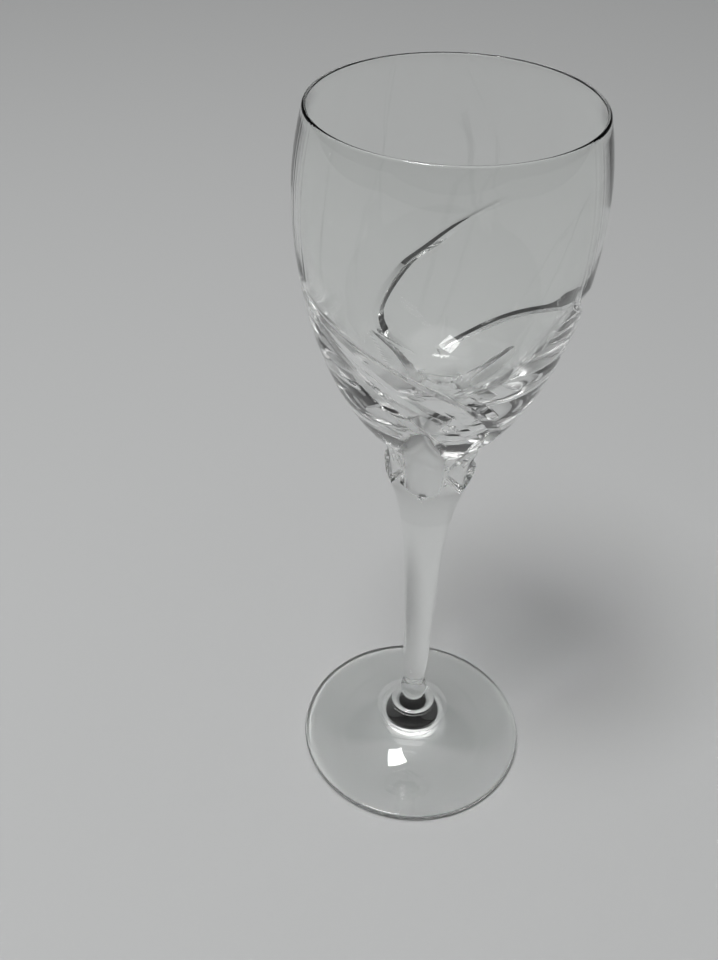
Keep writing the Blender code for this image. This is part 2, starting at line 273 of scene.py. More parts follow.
# %% A crystal finish
MM = 0.001
CRYSTAL_TINT = "FDFEFD"
CRYSTAL_IOR = 1.545
MATT_ROUGHNESS = 0.40
RIPPLE_DETAIL = 2.0
# The noise lies mostly in this range, and the roughness goes up and down with it by a share.
RIPPLE_RANGE = (0.3, 0.7)
POLISH_SPREAD = 0.5


def crystal(name, roughness, ripple_mm, ripple_depth_mm, stretch):
    """Clear glass with a faint ripple, stretched along the axis by a factor."""
    material = bpy.data.materials.new(name)
    material.use_nodes = True
    tree = material.node_tree
    tree.nodes.clear()
    place = add_node(tree, "ShaderNodeTexCoord").outputs["Object"]
    drawn = add_node(tree, "ShaderNodeMapping", {"Vector": place, "Scale": (1, 1, 1 / stretch)})
    ripple = add_node(
        tree,
        "ShaderNodeTexNoise",
        {"Vector": drawn, "Scale": 1 / (MM * ripple_mm), "Detail": RIPPLE_DETAIL},
    )
    brightest = (1 - POLISH_SPREAD) * roughness
    dullest = (1 + POLISH_SPREAD) * roughness
    polish = add_node(tree, "ShaderNodeMapRange", [ripple, *RIPPLE_RANGE, brightest, dullest])
    matt = add_node(tree, "ShaderNodeAttribute", attribute_name="matt").outputs["Fac"]
    ground = add_node(tree, "ShaderNodeMath", [matt, MATT_ROUGHNESS], operation="MULTIPLY")
    finish = add_node(tree, "ShaderNodeMath", [polish, ground], operation="ADD")
    bump = add_node(
        tree,
        "ShaderNodeBump",
        {"Height": ripple, "Distance": MM * ripple_depth_mm, "Strength": 1.0},
    )
    shader = add_node(
        tree,
        "ShaderNodeBsdfPrincipled",
        {
            "Base Color": linear(CRYSTAL_TINT),
            "Roughness": finish,
            "IOR": CRYSTAL_IOR,
            "Transmission Weight": 1.0,
            "Normal": bump,
        },
    )
    add_node(tree, "ShaderNodeOutputMaterial", {"Surface": shader})
    return material


print("index of the crystal:", CRYSTAL_IOR)

# %% The finishes
# Acid leaves the cut faces bright, with a slow ripple.
cut_crystal = crystal(
    "lead_crystal_cut_and_acid_polished",
    roughness=0.012, ripple_mm=9.0, ripple_depth_mm=0.004, stretch=1.0,
)
# Drawing leaves faint streaks along the stem.
drawn_crystal = crystal(
    "lead_crystal_drawn",
    roughness=0.015, ripple_mm=3.0, ripple_depth_mm=0.002, stretch=8.0,
)
# Fire leaves the button and the foot smooth, with a broad ripple.
pressed_crystal = crystal(
    "lead_crystal_pressed_and_fire_polished",
    roughness=0.015, ripple_mm=12.0, ripple_depth_mm=0.004, stretch=1.0,
)
# Fused glass has no surface at a join, so nothing shows there.
fused_join = bpy.data.materials.new("lead_crystal_fused_join")
fused_join.use_nodes = True
fused_join.node_tree.nodes["Principled BSDF"].inputs["Alpha"].default_value = 0.0
print("finishes:", [m.name for m in bpy.data.materials])

# %% [markdown]
# ## A blank that can be turned
# A turned body is a stack of rings. Writing the rings out ourselves, instead of using a Spin or
# Screw, lets every column of points lean as it climbs, which the swirling cuts of the bowl will
# need: a cut that runs along a column has a clean edge. Rings on the axis shrink to one point, so
# the ends are closed. The bands that lie on a join are marked, and their borders are sharp, so that
# the flat join doesn't bend the shading of the sides.


# %% Blanks
def blank(name, glass, rings, turns_at, join_bands):
    """A closed body of rings, each a radius and a level, with columns at its level's angles."""
    points, starts, faces, joins = [], [], [], []
    count = len(turns_at(0))
    for radius, level in rings:
        starts.append(len(points))
        for turn in turns_at(level) if radius > 0 else [0.0]:
            points.append((radius * math.cos(turn), radius * math.sin(turn), level))
    for band in range(len(rings) - 1):
        low, high = starts[band], starts[band + 1]
        for i in range(count):
            j = (i + 1) % count
            if rings[band][0] == 0:
                faces.append((low, high + j, high + i))
            elif rings[band + 1][0] == 0:
                faces.append((low + i, low + j, high))
            else:
                faces.append((low + i, low + j, high + j, high + i))
            joins.append(band in join_bands)
    mesh = bpy.data.meshes.new(name)
    mesh.from_pydata(points, [], faces)
    mesh.materials.append(glass)
    mesh.materials.append(fused_join)
    mesh.polygons.foreach_set("material_index", [int(join) for join in joins])
    mesh.attributes.new("join", "BOOLEAN", "FACE").data.foreach_set("value", joins)
    mesh.shade_smooth()
    borders = set()
    for band in join_bands:
        for ring in (band, band + 1):
            size = count if rings[ring][0] > 0 else 1
            borders.update(range(starts[ring], starts[ring] + size))
    sharp = [e.vertices[0] in borders and e.vertices[1] in borders for e in mesh.edges]
    mesh.attributes.new("sharp_edge", "BOOLEAN", "EDGE").data.foreach_set("value", sharp)
    item = bpy.data.objects.new(name, mesh)
    bpy.context.scene.collection.objects.link(item)
    print(name, "faces:", len(faces))
    return item


# %% Columns and rings
# The place of an added ring between the two rings at either end of a side.
SEAM_SHARE = 0.05


def even_turns(count):
    """Columns that stand upright, evenly spaced."""
    turns = [math.tau * i / count for i in range(count)]
    return lambda level: turns


def near_seam(rings):
    """A side's rings, and one close to each end so that the shading runs on across the joins."""
    (r0, z0), (r1, z1) = rings[0], rings[1]
    (r2, z2), (r3, z3) = rings[-2], rings[-1]
    first = (r0 + SEAM_SHARE * (r1 - r0), z0 + SEAM_SHARE * (z1 - z0))
    last = (r3 + SEAM_SHARE * (r2 - r3), z3 + SEAM_SHARE * (z2 - z3))
    return [rings[0], first, *rings[1:-1], last, rings[-1]]


print("six columns in degrees:", [round(math.degrees(turn)) for turn in even_turns(6)(0)])

# %% [markdown]
# ## Grinding with Geometry Nodes
# The cutter holds the glass against a broad wheel, and turns it by a sixth for each flat. Over
# every second flat a larger wheel with a rounded rim then sinks an olive, which is an oval hollow,
# narrow at its ends. Under the flats a thin wheel cuts a mitre, a V-shaped groove that zigzags
# round the stem with a point under each flat. The rule is simple: at each level and angle the glass
# can't reach further out than the wheels let it. So a tree of nodes works out that limit for every
# point of the blank and pulls the point in to it, and marks the points of the olives as matt.
# Boolean cuts would do the same, but they leave long thin faces that spoil the shading of glass.

# %% Sizes of the flats, the olives and the mitre
FLAT_SIZES = {
    "Flat Count": 6.0,
    "First Flat": math.radians(263),
    "Flat From Axis": 0.0100,
    "Flat Wheel": 0.0150,
    "Flat Level": 0.1115,
    "Olive Count": 3.0,
    "Olive From Axis": 0.0097,
    "Olive Wheel": 0.0240,
    "Olive Level": 0.1130,
    "Olive Bottom": 0.1058,
    "Olive Top": 0.1345,
    "Olive Width": 0.0106,
    "Olive Skew": 0.64,
    "Mitre Tip": 0.1052,
    "Mitre Rise": 0.0065,
    "Mitre Width": 0.0014,
    "Mitre Depth": 0.0020,
}
print("sizes of the flats:", len(FLAT_SIZES))


# %% Starting and ending a tree
def new_tree(name, sizes):
    """A Geometry Nodes tree with named inputs for its sizes and for the two materials."""
    tree = bpy.data.node_groups.new(name, "GeometryNodeTree")
    tree.interface.new_socket("Geometry", in_out="OUTPUT", socket_type="NodeSocketGeometry")
    tree.interface.new_socket("Geometry", in_out="INPUT", socket_type="NodeSocketGeometry")
    for size in sizes:
        tree.interface.new_socket(size, in_out="INPUT", socket_type="NodeSocketFloat")
    for finish in ("Glass", "Join"):
        tree.interface.new_socket(finish, in_out="INPUT", socket_type="NodeSocketMaterial")
    return tree


def finish_tree(tree, given, moved):
    """Ends a tree: realized geometry, the join's finish on its faces and the glass elsewhere."""
    real = add_node(tree, "GeometryNodeRealizeInstances", [moved])
    join = add_node(tree, "GeometryNodeInputNamedAttribute", {"Name": "join"}, data_type="BOOLEAN")
    rest = add_node(tree, "FunctionNodeBooleanMath", [join.outputs[0]], operation="NOT")
    joined = add_node(
        tree,
        "GeometryNodeSetMaterial",
        {"Geometry": real, "Selection": join.outputs[0], "Material": given.outputs["Join"]},
    )
    glazed = add_node(
        tree,
        "GeometryNodeSetMaterial",
        {"Geometry": joined, "Selection": rest, "Material": given.outputs["Glass"]},
    )
    add_node(tree, "NodeGroupOutput", {"Geometry": glazed})


flats = new_tree("grind_flats", FLAT_SIZES)
given = add_node(flats, "NodeGroupInput")
sizes = given.outputs
print("inputs of the tree:", [socket.name for socket in sizes if socket.name])

# %% Points by angle, radius and level
# Points closer to the axis than this stay on it.
ON_AXIS = 1e-6


def polar(tree):
    """Angle, radius and level of each point."""
    place = add_node(tree, "GeometryNodeInputPosition")
    parts = add_node(tree, "ShaderNodeSeparateXYZ", [place])
    x, y, level = parts.outputs
    angle = add_node(tree, "ShaderNodeMath", [y, x], operation="ARCTAN2")
    flat = add_node(tree, "ShaderNodeCombineXYZ", [x, y, 0.0])
    radius = add_node(tree, "ShaderNodeVectorMath", [flat], operation="LENGTH").outputs["Value"]
    return angle, radius, level


def pulled_in(tree, geometry, radius, new_radius):
    """Moves each point straight towards the axis, from one radius to another."""
    share = add_node(tree, "ShaderNodeMath", [new_radius, radius], operation="DIVIDE")
    flat = add_node(tree, "ShaderNodeCombineXYZ", [share, share, 1.0])
    place = add_node(tree, "GeometryNodeInputPosition")
    target = add_node(tree, "ShaderNodeVectorMath", [place, flat], operation="MULTIPLY")
    off_axis = add_node(tree, "FunctionNodeCompare", [radius, ON_AXIS], operation="GREATER_THAN")
    return add_node(
        tree,
        "GeometryNodeSetPosition",
        {"Geometry": geometry, "Selection": off_axis, "Position": target},
    )


angle, radius, level = polar(flats)
turned = add_node(flats, "ShaderNodeMath", [angle, sizes["First Flat"]], operation="SUBTRACT")
print("nodes before the first wheel:", len(flats.nodes))


# %% Wheels
def wheel_reach(tree, level, sizes, cut):
    """How far out a cut's wheel leaves the glass at a level, and whether it misses that level."""
    wheel = sizes[f"{cut} Wheel"]
    rise = add_node(tree, "ShaderNodeMath", [level, sizes[f"{cut} Level"]], operation="SUBTRACT")
    rise_square = add_node(tree, "ShaderNodeMath", [rise, rise], operation="MULTIPLY")
    wheel_square = add_node(tree, "ShaderNodeMath", [wheel, wheel], operation="MULTIPLY")
    left = add_node(tree, "ShaderNodeMath", [wheel_square, rise_square], operation="SUBTRACT")
    missed = add_node(tree, "ShaderNodeMath", [left, 0.0], operation="LESS_THAN")
    bite = add_node(tree, "ShaderNodeMath", [left], operation="SQRT")
    centre = add_node(tree, "ShaderNodeMath", [sizes[f"{cut} From Axis"], wheel], operation="ADD")
    return add_node(tree, "ShaderNodeMath", [centre, bite], operation="SUBTRACT"), missed


def beside_middle(tree, turned, count):
    """Cosine and sine of the angle from each point to the middle of its cut, in a round of cuts.

    The third value is that angle as a share of half a cut, from 0 in the middle to 1 at the ridge.
    """
    sector = add_node(tree, "ShaderNodeMath", [math.tau, count], operation="DIVIDE")
    half = add_node(tree, "ShaderNodeMath", [sector, 0.5], operation="MULTIPLY")
    minus = add_node(tree, "ShaderNodeMath", [sector, -0.5], operation="MULTIPLY")
    aside = add_node(tree, "ShaderNodeMath", [turned, half, minus], operation="WRAP")
    cosine = add_node(tree, "ShaderNodeMath", [aside], operation="COSINE")
    sine = add_node(tree, "ShaderNodeMath", [aside], operation="SINE")
    either_side = add_node(tree, "ShaderNodeMath", [aside], operation="ABSOLUTE")
    return cosine, sine, add_node(tree, "ShaderNodeMath", [either_side, half], operation="DIVIDE")


# %% [markdown]
# ### Flats
# Six flats stand round the axis, so the tree first finds how far each point is turned from the
# middle of its own flat. Seen from the side, the rim of the wheel is a circle, which gives the
# distance of the flat from the axis at each level. Divided by the cosine, it becomes a radius. At
# the levels that the wheel misses, a whole metre is added to this limit, so that it never bites.

# %% Flats
cosine, _, to_ridge = beside_middle(flats, turned, sizes["Flat Count"])
flat_rim, flat_missed = wheel_reach(flats, level, sizes, "Flat")
flat_reach = add_node(flats, "ShaderNodeMath", [flat_rim, cosine], operation="DIVIDE")
flat_limit = add_node(flats, "ShaderNodeMath", [flat_reach, flat_missed], operation="ADD")
no_olive = add_node(flats, "ShaderNodeMath", [flat_limit, radius], operation="MINIMUM")
print("nodes with the flats:", len(flats.nodes))

# %% [markdown]
# ### Olives
# An olive is narrow at both ends, and a power moves its widest place below its middle. Its half
# width at a level is the root of a product, as in an ellipse. Across that width the hollow rises as
# a square, from the rim of the wheel in the middle to the flat at its edge. Beside the olive and
# beyond its ends a metre is added again, so that only the flats count there.

# %% Olives
# The mitre is back at its full depth here, as a square of the distance in half widths.
OLIVE_MARGIN = 1.5
# Where it is narrower than this, the olive has ended.
LEAST_HALF = 1e-5

olive_rim, olive_missed = wheel_reach(flats, level, sizes, "Olive")
ends = [sizes["Olive Bottom"], sizes["Olive Top"]]
climb = add_node(flats, "ShaderNodeMapRange", [level, *ends, 0.0, 1.0])
share = add_node(flats, "ShaderNodeMath", [climb, sizes["Olive Skew"]], operation="POWER")
rest = add_node(flats, "ShaderNodeMath", [1.0, share], operation="SUBTRACT")
bulge = add_node(flats, "ShaderNodeMath", [share, rest], operation="MULTIPLY")
root = add_node(flats, "ShaderNodeMath", [bulge], operation="SQRT")
half = add_node(flats, "ShaderNodeMath", [root, sizes["Olive Width"]], operation="MULTIPLY")
_, sine, _ = beside_middle(flats, turned, sizes["Olive Count"])
across = add_node(flats, "ShaderNodeMath", [radius, sine], operation="MULTIPLY")
offset = add_node(flats, "ShaderNodeMath", [across, half], operation="DIVIDE")
square = add_node(flats, "ShaderNodeMath", [offset, offset], operation="MULTIPLY")
offset_square = add_node(flats, "ShaderNodeMath", [square, OLIVE_MARGIN], operation="MINIMUM")
depth = add_node(flats, "ShaderNodeMath", [no_olive, olive_rim], operation="SUBTRACT")
hollow = add_node(
    flats,
    "ShaderNodeMath",
    [depth, offset_square, olive_rim],
    operation="MULTIPLY_ADD",
)
beside = add_node(flats, "ShaderNodeMath", [offset_square, 1.0], operation="GREATER_THAN")
beyond = add_node(flats, "ShaderNodeMath", [half, LEAST_HALF], operation="LESS_THAN")
apart = add_node(flats, "ShaderNodeMath", [beside, beyond], operation="ADD")
olive_reach = add_node(flats, "ShaderNodeMath", [hollow, apart], operation="ADD")
olive_limit = add_node(flats, "ShaderNodeMath", [olive_reach, olive_missed], operation="ADD")
kept = add_node(flats, "ShaderNodeMath", [no_olive, olive_limit], operation="MINIMUM")
print("nodes with the olives:", len(flats.nodes))

# %% [markdown]
# ### The mitre, and the matt mark
# The line of the mitre is lowest in the middle of each flat and climbs to the ridges on both sides.
# Its groove is cut last, and it fades out before it meets an olive. At the end the points that lie
# in an olive, where its wheel reached deeper than the flat, get the number that makes them matt.

# %% Mitre and matt mark
mitre_line = add_node(
    flats,
    "ShaderNodeMath",
    [to_ridge, sizes["Mitre Rise"], sizes["Mitre Tip"]],
    operation="MULTIPLY_ADD",
)
above = add_node(flats, "ShaderNodeMath", [level, mitre_line], operation="SUBTRACT")
off_line = add_node(flats, "ShaderNodeMath", [above], operation="ABSOLUTE")
groove = add_node(
    flats,
    "ShaderNodeMapRange",
    [off_line, 0.0, sizes["Mitre Width"], sizes["Mitre Depth"], 0.0],
)
clear = add_node(flats, "ShaderNodeMapRange", [offset_square, 1.0, OLIVE_MARGIN, 0.0, 1.0])
free = add_node(flats, "ShaderNodeMath", [clear, beyond], operation="MAXIMUM")
mitre = add_node(flats, "ShaderNodeMath", [groove, free], operation="MULTIPLY")
ground_radius = add_node(flats, "ShaderNodeMath", [kept, mitre], operation="SUBTRACT")
within = add_node(flats, "ShaderNodeMath", [apart, 0.5], operation="LESS_THAN")
reached = add_node(flats, "ShaderNodeMath", [olive_rim, no_olive], operation="LESS_THAN")
in_olive = add_node(flats, "ShaderNodeMath", [within, reached], operation="MULTIPLY")
marked = add_node(
    flats,
    "GeometryNodeStoreNamedAttribute",
    {"Geometry": given.outputs["Geometry"], "Name": "matt", "Value": in_olive},
)
finish_tree(flats, given, pulled_in(flats, marked, radius, ground_radius))
print("nodes of the whole tree:", len(flats.nodes))

# %% [markdown]
# ## The swirls
# Four cuts climb round the bowl, each by its own curve, because they were cut by hand. The wheel
# leaves a narrow steep wall on one side of its path and a broad shallow face, the leaf, on the
# other, and they meet in a deep line. The steep wall turns light away, and that draws the dark
# strokes on the bowl. Each path is a smooth curve through a few points, given as an angle in
# degrees and a level. Four lines describe a cut: the edge of the leaf, the shelf where the leaf
# turns down, the deep line and the edge of the wall. The columns of the blank follow these lines,
# so every edge of a cut runs along a column. The widths of the steep face and of the wall are in
# degrees too, and the shelf is a share of the depth. A cut deepens from the first of its four
# levels to the second, and runs out from the third to the last. One wall splays near the top of its
# cut, where the wheel leaned over.

# %% Paths of the swirls
SWIRLS = {
    "right": {
        "deep": (
            (88, 0.1262), (72.5, 0.1310), (43.6, 0.1413),
            (21.2, 0.1482), (4, 0.1535), (-27, 0.1664),
        ),
        "leaf": (
            (64.5, 0.1241), (50, 0.1264), (35.8, 0.1294),
            (20, 0.1351), (10.4, 0.1395), (4, 0.1460),
        ),
        "steep": 5, "wall": 3, "splay": 3.0, "shelf": 0.30, "depth": 0.0014,
        "levels": (0.1225, 0.1280, 0.1600, 0.1710),
    },
    "back": {
        "deep": (
            (112, 0.1245), (126, 0.1290), (133, 0.1333),
            (133.7, 0.1381), (124.2, 0.1436), (111.2, 0.1493),
            (98.2, 0.1530), (80.4, 0.1597), (62.8, 0.1664),
        ),
        "leaf": (
            (104, 0.1225), (109, 0.1260), (113.2, 0.1294), (123.9, 0.1342), (129.6, 0.1366),
        ),
        "steep": 6, "wall": 2.8, "splay": 0.0, "shelf": 0.25, "depth": 0.0014,
        "levels": (0.1225, 0.1300, 0.1420, 0.1690),
    },
    "left": {
        "deep": ((276, 0.1300), (244, 0.1449), (221, 0.1545), (200, 0.1600)),
        "leaf": ((266, 0.1300), (233, 0.1463), (214, 0.1505), (198, 0.1570)),
        "steep": 4, "wall": 4, "splay": 0.0, "shelf": 0.50, "depth": 0.0012,
        "levels": (0.1225, 0.1300, 0.1480, 0.1595),
    },
    "front": {
        "deep": ((312, 0.1300), (271.6, 0.1483), (235, 0.1580), (204, 0.1635)),
        "leaf": ((296, 0.1300), (267.7, 0.1430), (236, 0.1536), (204, 0.1610)),
        "steep": 9, "wall": 6, "splay": 0.0, "shelf": 0.50, "depth": 0.0016,
        "levels": (0.1225, 0.1300, 0.1520, 0.1655),
    },
}
print("swirls:", list(SWIRLS))

# %% Lines of the swirls
# The lines of a cut stay this many degrees apart.
LEAST_TURN = 0.6
# One wall splays from the first of these levels to the second.
SPLAY_LEVELS = (0.1480, 0.1560)


def smooth(low, high, value):
    """A share that leaves 0 at low and reaches 1 at high with no corner at either end."""
    share = min(max((value - low) / (high - low), 0), 1)
    return share * share * (3 - 2 * share)


def path_angle(points, level):
    """Angle of a path at a level, in degrees, on a smooth curve through its points."""
    level = min(max(level, points[0][1]), points[-1][1])
    i = max(k for k in range(len(points) - 1) if points[k][1] <= level)
    slopes = []
    for k in (i, i + 1):
        before, after = points[max(k - 1, 0)], points[min(k + 1, len(points) - 1)]
        slopes.append((after[0] - before[0]) / (after[1] - before[1]))
    (a0, z0), (a1, z1) = points[i], points[i + 1]
    t = (level - z0) / (z1 - z0)
    ends = a0 * (1 + 2 * t) * (1 - t) ** 2 + a1 * t * t * (3 - 2 * t)
    return ends + (z1 - z0) * (slopes[0] * t * (1 - t) ** 2 - slopes[1] * t * t * (1 - t))


def taper(swirl, level):
    """How much of its depth and width a swirl has at a level."""
    bottom, full_from, full_to, top = swirl["levels"]
    return smooth(bottom, full_from, level) * smooth(top, full_to, level)


def cut_lines(level):
    """The four lines of each swirl at a level, in degrees and in order round the bowl."""
    lines = []
    for swirl in SWIRLS.values():
        width = math.sqrt(taper(swirl, level))
        deep = path_angle(swirl["deep"], level)
        shelf = deep - max(swirl["steep"] * width, LEAST_TURN)
        leaf = min(path_angle(swirl["leaf"], level), shelf - LEAST_TURN)
        splay = 1 + swirl["splay"] * smooth(*SPLAY_LEVELS, level)
        lines += [leaf, shelf, deep, deep + max(swirl["wall"] * width * splay, LEAST_TURN)]
    return lines


for shown_level in (0.120, 0.130, 0.140, 0.150, 0.160, 0.180):
    print("lines at", shown_level, [round(line) for line in cut_lines(shown_level)])

# %% [markdown]
# ## Columns of the bowl
# Each column is a place between two of these lines. Columns stand close on both sides of every
# line, which keeps the edges crisp but not knife sharp, as acid leaves them.

# %% Columns of the bowl
# How close to a line its nearest columns stand, as a share of the gap between two lines.
CRISP = 0.02
# Steps across the leaf, the steep face, the wall and the plain glass up to the next cut.
COLUMNS = (24, 7, 7, 44)
LINES = len(COLUMNS)

columns = []
for i in range(LINES * len(SWIRLS)):
    between = spread(0, 1, COLUMNS[i % LINES])[1:-1]
    columns += [(i, share) for share in (0, CRISP, *between, 1 - CRISP)]


def bowl_turns(level):
    """Angles of the columns at a level."""
    lines = cut_lines(level)
    lines.append(lines[0] + 360)
    return [math.radians(lines[i] + (lines[i + 1] - lines[i]) * share) for i, share in columns]


print("columns:", len(columns))

# %% [markdown]
# ## Grinding the swirls
# With the columns in place, the depth of a cut is simple: nothing at its edges, a little along its
# shelf and most along its deep line. So the tree only needs one number for each point, a share of
# the full depth.

# %% Tree that grinds the swirls
SWIRL_SIZES = {"Depth": 0.0016}

swirls = new_tree("grind_swirls", SWIRL_SIZES)
given = add_node(swirls, "NodeGroupInput")
_, radius, _ = polar(swirls)
bite = add_node(swirls, "GeometryNodeInputNamedAttribute", {"Name": "bite"}, data_type="FLOAT")
taken = add_node(swirls, "ShaderNodeMath", [bite, given.outputs["Depth"]], operation="MULTIPLY")
cut_radius = add_node(swirls, "ShaderNodeMath", [radius, taken], operation="SUBTRACT")
finish_tree(swirls, given, pulled_in(swirls, given.outputs["Geometry"], radius, cut_radius))
print("nodes that grind the swirls:", len(swirls.nodes))

# %% [markdown]
# ## Running the trees
# A tree is put on a piece as a modifier, and its sizes are set on it. What the modifiers make is
# then kept as a plain mesh, because the finished model has to stand without them.


# %% Running the trees
def run_tree(item, tree, sizes, glass):
    """Puts a tree on a piece, with its sizes and finishes."""
    modifier = item.modifiers.new(tree.name, "NODES")
    modifier.node_group = tree
    values = {**sizes, "Glass": glass, "Join": fused_join}
    for socket in tree.interface.items_tree:
        if socket.in_out == "INPUT" and socket.name in values:
            modifier[socket.identifier] = values[socket.name]


def made_plain(item):
    """Turns what the modifiers make of a piece into a plain mesh."""
    bpy.context.view_layer.update()
    graph = bpy.context.evaluated_depsgraph_get()
    mesh = bpy.data.meshes.new_from_object(item.evaluated_get(graph))
    item.modifiers.clear()
    old = item.data
    item.data = mesh
    bpy.data.meshes.remove(old)
    mesh.name = item.name
    print(item.name, "faces:", len(mesh.polygons), "finishes:", [m.name for m in mesh.materials])


# %% [markdown]
# ## The bowl
# The bowl is blown thin at the rim and left thick at the bottom, where it is cut. Its rings run
# from the middle of the join, up the outside, over the rounded rim and down the inside to the floor
# of the cavity. They lie closest where the cuts are. Each point of the outside gets its share of
# its swirl's depth, and then both trees run, the swirls first and the flats over them, in the order
# in which the glass was cut.

# %% Bowl
LIP_RADIUS = RIM_WALL / 2
LIP_LEVEL = RIM_LEVEL - LIP_RADIUS
LIP_STEPS = 8
# Each stretch of the outside from a level to a level, and its number of rings.
OUTSIDE_RINGS = ((BOWL_LEVEL, 0.1400, 104), (0.1400, 0.1690, 58), (0.1690, LIP_LEVEL, 18))
UPPER_RINGS = 8
CAVITY_RINGS = 40

outside = [(bowl_radius(BOWL_LEVEL), BOWL_LEVEL)]
for low, high, steps in OUTSIDE_RINGS:
    outside += [(bowl_radius(z), z) for z in spread(low, high, steps)[1:]]
outside = near_seam(outside)
lip = []
for turn in spread(0, math.pi, LIP_STEPS)[1:-1]:
    reach = RIM_RADIUS - LIP_RADIUS + LIP_RADIUS * math.cos(turn)
    lip.append((reach, RIM_LEVEL - LIP_RADIUS * (1 - math.sin(turn))))
inside = [(cavity_radius(z), z) for z in spread(LIP_LEVEL, BELLY_LEVEL, UPPER_RINGS)]
for turn in spread(math.pi / 2, 0, CAVITY_RINGS)[1:-1]:
    z = BELLY_LEVEL - (BELLY_LEVEL - CAVITY_FLOOR) * math.cos(turn)
    inside.append((cavity_radius(z), z))
bowl_rings = [(0, BOWL_LEVEL), *outside, *lip, *inside, (0, CAVITY_FLOOR)]
bowl = blank("bowl_glass", cut_crystal, bowl_rings, bowl_turns, {0})

# %% Cuts of the bowl
# A leaf of at least this many degrees has a shelf of full depth.
FULL_LEAF = 12.0

cuts = list(SWIRLS.values())
bites = [0.0]
for _, z in outside:
    lines = cut_lines(z)
    for i, share in columns:
        cut, face = divmod(i, LINES)
        swirl = cuts[cut]
        leaf_line, shelf_line = lines[LINES * cut:LINES * cut + 2]
        shelf = swirl["shelf"] * smooth(LEAST_TURN, FULL_LEAF, shelf_line - leaf_line)
        profile = (shelf * share, shelf + (1 - shelf) * share, 1 - share, 0)[face]
        bites.append(profile * taper(swirl, z) * swirl["depth"] / SWIRL_SIZES["Depth"])
bites += [0.0] * (len(bowl.data.vertices) - len(bites))
bowl.data.attributes.new("bite", "FLOAT", "POINT").data.foreach_set("value", bites)
run_tree(bowl, swirls, SWIRL_SIZES, cut_crystal)
run_tree(bowl, flats, FLAT_SIZES, cut_crystal)
made_plain(bowl)

# %% [markdown]
# ## The knop
# The knop is the thick glass between the stem and the bowl. The same wheels grind it in one pass
# with the bottom of the bowl, so it runs through the same tree and the two meet without a step. No
# swirl reaches it, so its columns are evenly spaced.

# %% Knop
KNOP_RINGS = 94
KNOP_COLUMNS = 540

side = near_seam([(shaft_radius(z), z) for z in spread(KNOP_LEVEL, BOWL_LEVEL, KNOP_RINGS)])
knop_rings = [(0, KNOP_LEVEL), *side, (0, BOWL_LEVEL)]
knop = blank("knop_glass", cut_crystal, knop_rings, even_turns(KNOP_COLUMNS), {0, len(side)})
run_tree(knop, flats, FLAT_SIZES, cut_crystal)
made_plain(knop)

# %% [markdown]
# ## The stem, the button and the foot
# These three are only turned, so they need no tree. The stem is drawn thin just above the button.
# The button has a rounded shoulder, a waist and a small ball. The foot is a low cone with a steep
# collar round the button, and it has a resting ring and a shallow hollow underneath, so that it
# stands without rocking.

# %% Stem
STEM_RINGS = 160
STEM_COLUMNS = 128

side = near_seam([(shaft_radius(z), z) for z in spread(STEM_LEVEL, KNOP_LEVEL, STEM_RINGS)])
stem_rings = [(0, STEM_LEVEL), *side, (0, KNOP_LEVEL)]
stem = blank("stem_glass", drawn_crystal, stem_rings, even_turns(STEM_COLUMNS), {0, len(side)})

# %% Button
SHOULDER_RINGS = 12
SWEEP_RINGS = 20
BALL_RINGS = 40
BUTTON_COLUMNS = 128

levels = []
for turn in spread(0, math.pi / 2, SHOULDER_RINGS):
    levels.append(BUTTON_LEVEL + (SHOULDER_LEVEL - BUTTON_LEVEL) * math.sin(turn))
for share in spread(0, 1, SWEEP_RINGS)[1:]:
    levels.append(SHOULDER_LEVEL + (BUTTON_WAIST_LEVEL - SHOULDER_LEVEL) * share * share)
levels += spread(BUTTON_WAIST_LEVEL, STEM_LEVEL, BALL_RINGS)[1:]
side = near_seam([(button_radius(z), z) for z in levels])
button_rings = [(0, BUTTON_LEVEL), *side, (0, STEM_LEVEL)]
button_turns = even_turns(BUTTON_COLUMNS)
button = blank("button_glass", pressed_crystal, button_rings, button_turns, {0, len(side)})

# %% Foot
HOLLOW_RINGS = 24
EDGE_RINGS = 12
CONE_RINGS = 60
COLLAR_RINGS = 60
FOOT_COLUMNS = 160

underside = [(0, UNDERSIDE_HOLLOW)]
for share in spread(0, 1, HOLLOW_RINGS)[1:]:
    underside.append((HOLLOW_RADIUS * share, UNDERSIDE_HOLLOW * (1 - share * share)))
underside.append((RESTING_RADIUS, 0))
edge_radius = FOOT_EDGE / 2
edge_middle = FOOT_RADIUS - edge_radius
edge = []
for turn in spread(-math.pi / 2, math.pi / 2, EDGE_RINGS)[1:]:
    z = edge_radius + edge_radius * math.sin(turn)
    edge.append((edge_middle + edge_radius * math.cos(turn), z))
cove_radius = 2 * COLLAR_RADIUS - FOOT_TOP_RADIUS
upper = [(r, foot_level(r)) for r in spread(edge_middle, cove_radius, CONE_RINGS)[1:]]
upper += [(r, foot_level(r)) for r in spread(cove_radius, FOOT_TOP_RADIUS, COLLAR_RINGS)[1:-1]]
foot_rings = [*underside, *edge, *upper, (FOOT_TOP_RADIUS, BUTTON_LEVEL), (0, BUTTON_LEVEL)]
join_band = len(foot_rings) - 2
foot = blank("foot_glass", pressed_crystal, foot_rings, even_turns(FOOT_COLUMNS), {join_band})

# %% [markdown]
# ## Floor and light
# Clear glass shows what is around it. The floor is a plain pale grey, a hair below the foot so that
# no two faces lie in one plane. Soft light comes from one square lamp above, to the left and in
# front, and from a pale ceiling. The walls of the room are dim, and the edges of the glass bend
# their darkness into the thin lines that draw it. A dark card high in front, as photographers use
# for glass, keeps the walls of the cuts dark.

# %% Floor
FLOOR_SIZE = 3.0
FLOOR_DROP = 0.0003
